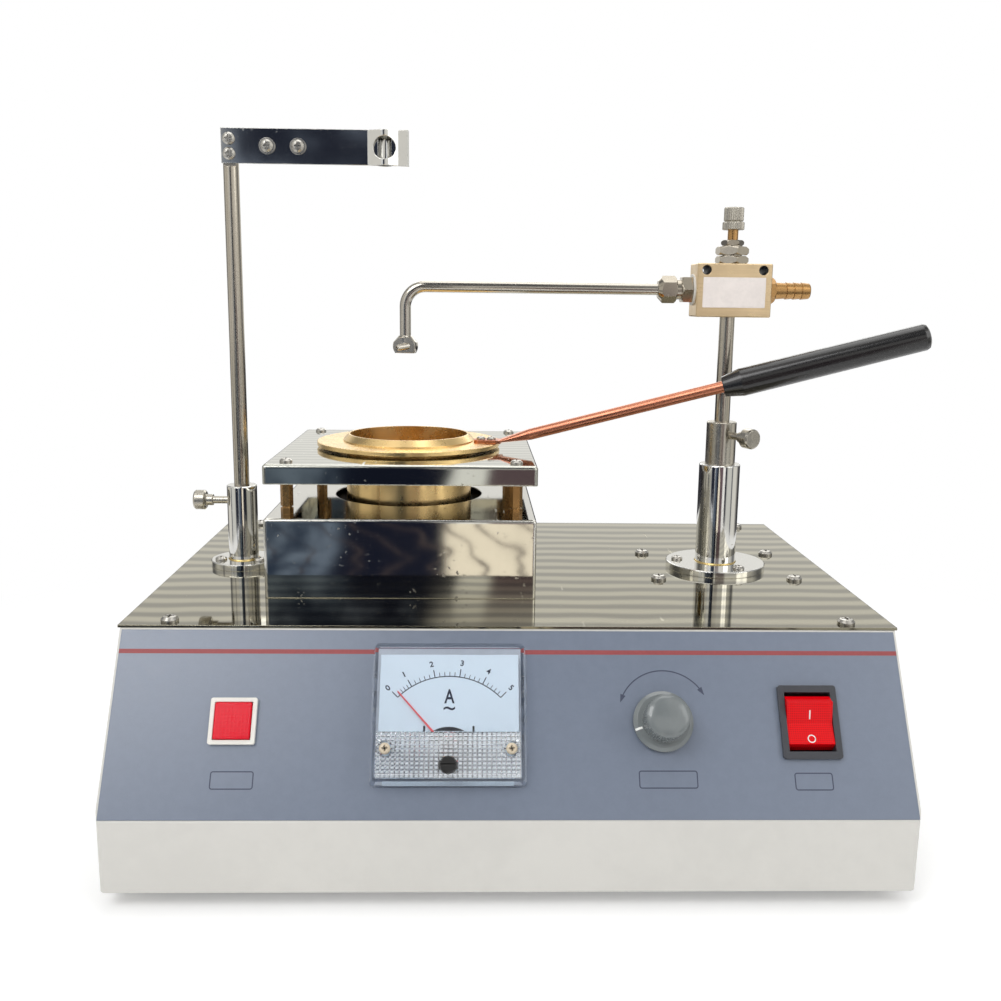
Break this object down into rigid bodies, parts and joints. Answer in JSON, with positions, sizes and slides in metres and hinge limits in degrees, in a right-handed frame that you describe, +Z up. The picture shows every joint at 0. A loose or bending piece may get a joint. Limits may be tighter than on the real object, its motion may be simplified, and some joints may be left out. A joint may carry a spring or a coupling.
{
  "type": "flash point tester",
  "caption": "Open-cup flash point tester: sloped control casing, electric cup heater with a handled brass cup, swinging gas igniter and thermometer stand.",
  "frame": {"origin": "centre of the footprint's bounding box, on the bench", "axes": "+Z up, +X to the operator's right, +Y from the operator to the back"},
  "size_m": [0.3838, 0.2748, 0.3409],
  "materials": {
    "casing_paint": "satin powder coat",
    "base_sheet": "zinc plated sheet",
    "rubber": "matte",
    "mirror_steel": "polished stainless sheet",
    "screw_steel": "nickel plated screws",
    "panel_overlay": "printed film",
    "meter_clear": "clear plastic",
    "dial_white": "printed dial",
    "black_plastic": "gloss black",
    "needle_red": "painted",
    "button_white": "ivory",
    "button_red": "clear red",
    "knob_grey": "grey",
    "control_metal": "plated",
    "post_steel": "nickel plated",
    "rod_steel": "bright drawn",
    "fitting_nickel": "nickel plated brass",
    "valve_gold": "brushed champagne anodised",
    "brass": "turned brass",
    "copper": "copper rod",
    "grip_black": "moulded bakelite",
    "heater_iron": "heat-blackened plate",
    "ceramic": "ceramic fibre",
    "board_green": "circuit board",
    "board_metal": "lacquered core and fins",
    "motor_metal": "grey case"
  },
  "bodies": {
    "base": {"casing_shell": "casing_paint", "base_plate": "base_sheet", "rubber_feet": "rubber", "m4_screws": "screw_steel", "m3_screws": "screw_steel", "top_plate": "mirror_steel", "front_overlay": "panel_overlay", "meter_housing": "black_plastic", "meter_dial": "dial_white", "meter_cover": "meter_clear", "meter_screws": "screw_steel", "scan_button_housing": "button_white", "heat_potentiometer": "control_metal", "power_switch_housing": "black_plastic", "heater_box": "mirror_steel", "heater_cover": "mirror_steel", "cover_standoffs": "brass", "heater_plate": "heater_iron", "heater_former": "ceramic", "heating_coils": "copper", "igniter_flange": "post_steel", "igniter_sleeve": "post_steel", "motor_bracket": "base_sheet", "scan_motor": "motor_metal", "stand_flange": "post_steel", "stand_sleeve": "post_steel", "control_board": "board_green", "board_parts": "board_metal", "power_inlet": "black_plastic", "inlet_pins": "brass"},
    "meter_needle": {"meter_needle": "needle_red"},
    "zero_adjuster": {"zero_adjuster": "black_plastic"},
    "scan_button": {"scan_button": "button_red"},
    "heat_knob": {"heat_knob": "knob_grey", "potentiometer_shaft": "control_metal"},
    "power_rocker": {"power_rocker": "button_red"},
    "test_cup": {"test_cup": "brass", "cup_handle": "copper", "handle_grip": "grip_black", "handle_screws": "screw_steel"},
    "igniter_hub": {"igniter_hub": "post_steel", "drive_shaft": "control_metal"},
    "igniter_thumb_screw": {"igniter_thumb_screw": "post_steel"},
    "igniter_head": {"igniter_rod": "rod_steel", "valve_body": "valve_gold", "valve_bonnet": "fitting_nickel", "valve_locknut": "fitting_nickel", "tube_connector": "fitting_nickel", "compression_nut": "fitting_nickel", "gas_tube": "rod_steel", "igniter_nozzle": "rod_steel", "nozzle_jet": "brass", "hose_barb": "brass"},
    "needle_valve_knob": {"valve_stem": "brass", "valve_knob": "fitting_nickel"},
    "thermometer_stand": {"stand_rod": "rod_steel", "thermometer_arm": "mirror_steel", "clip_leaf": "mirror_steel", "arm_screws": "screw_steel"},
    "stand_thumb_screw": {"stand_thumb_screw": "post_steel"}
  },
  "joints": [
    {"name": "meter_needle_swing", "type": "hinge", "parent": "base", "child": "meter_needle", "pos_m": [-0.04326, -0.12578, 0.06774], "axis": [0, 0.8427, -0.5384], "range_deg": [-3, 87], "stiffness_Nm_per_rad": 0.0004},
    {"name": "zero_adjuster_turn", "type": "hinge", "parent": "base", "child": "zero_adjuster", "pos_m": [-0.04326, -0.13366, 0.0647], "axis": [0, -0.8427, 0.5384], "range_deg": [-20, 20]},
    {"name": "scan_button_press", "type": "slide", "parent": "base", "child": "scan_button", "axis": [0, 0.8427, -0.5384], "range_m": [0, 0.0025], "stiffness_N_per_m": 600, "springref_m": -0.001},
    {"name": "heat_knob_turn", "type": "hinge", "parent": "base", "child": "heat_knob", "pos_m": [0.05014, -0.11451, 0.07572], "axis": [0, 0.8427, -0.5384], "range_deg": [0, 270]},
    {"name": "power_rocker_tilt", "type": "hinge", "parent": "base", "child": "power_rocker", "pos_m": [0.11474, -0.11324, 0.07492], "axis": [-1, 0, 0], "range_deg": [0, 20]},
    {"name": "test_cup_lift", "type": "slide", "parent": "base", "child": "test_cup", "axis": [0, 0, 1], "range_m": [0, 0.038]},
    {"name": "igniter_swing", "type": "hinge", "parent": "base", "child": "igniter_hub", "pos_m": [0.10154, 0.02003, 0.1701], "axis": [0, 0, 1], "range_deg": [-28, 28]},
    {"name": "igniter_thumb_turn", "type": "hinge", "parent": "igniter_hub", "child": "igniter_thumb_screw", "pos_m": [0.10517, 0.0129, 0.1863], "axis": [0.454, -0.891, 0], "range_deg": [0, 720]},
    {"name": "igniter_height", "type": "slide", "parent": "igniter_hub", "child": "igniter_head", "axis": [0, 0, 1], "range_m": [-0.041, 0.012]},
    {"name": "needle_valve_turn", "type": "hinge", "parent": "igniter_head", "child": "needle_valve_knob", "pos_m": [0.10234, 0.02003, 0.2767], "axis": [0, 0, 1], "range_deg": [0, 1080]},
    {"name": "stand_swivel", "type": "hinge", "parent": "base", "child": "thermometer_stand", "pos_m": [-0.15906, 0.02003, 0.1563], "axis": [0, 0, 1], "continuous": true},
    {"name": "stand_thumb_turn", "type": "hinge", "parent": "base", "child": "stand_thumb_screw", "pos_m": [-0.16706, 0.02003, 0.1478], "axis": [-1, 0, 0], "range_deg": [0, 720]}
  ]
}
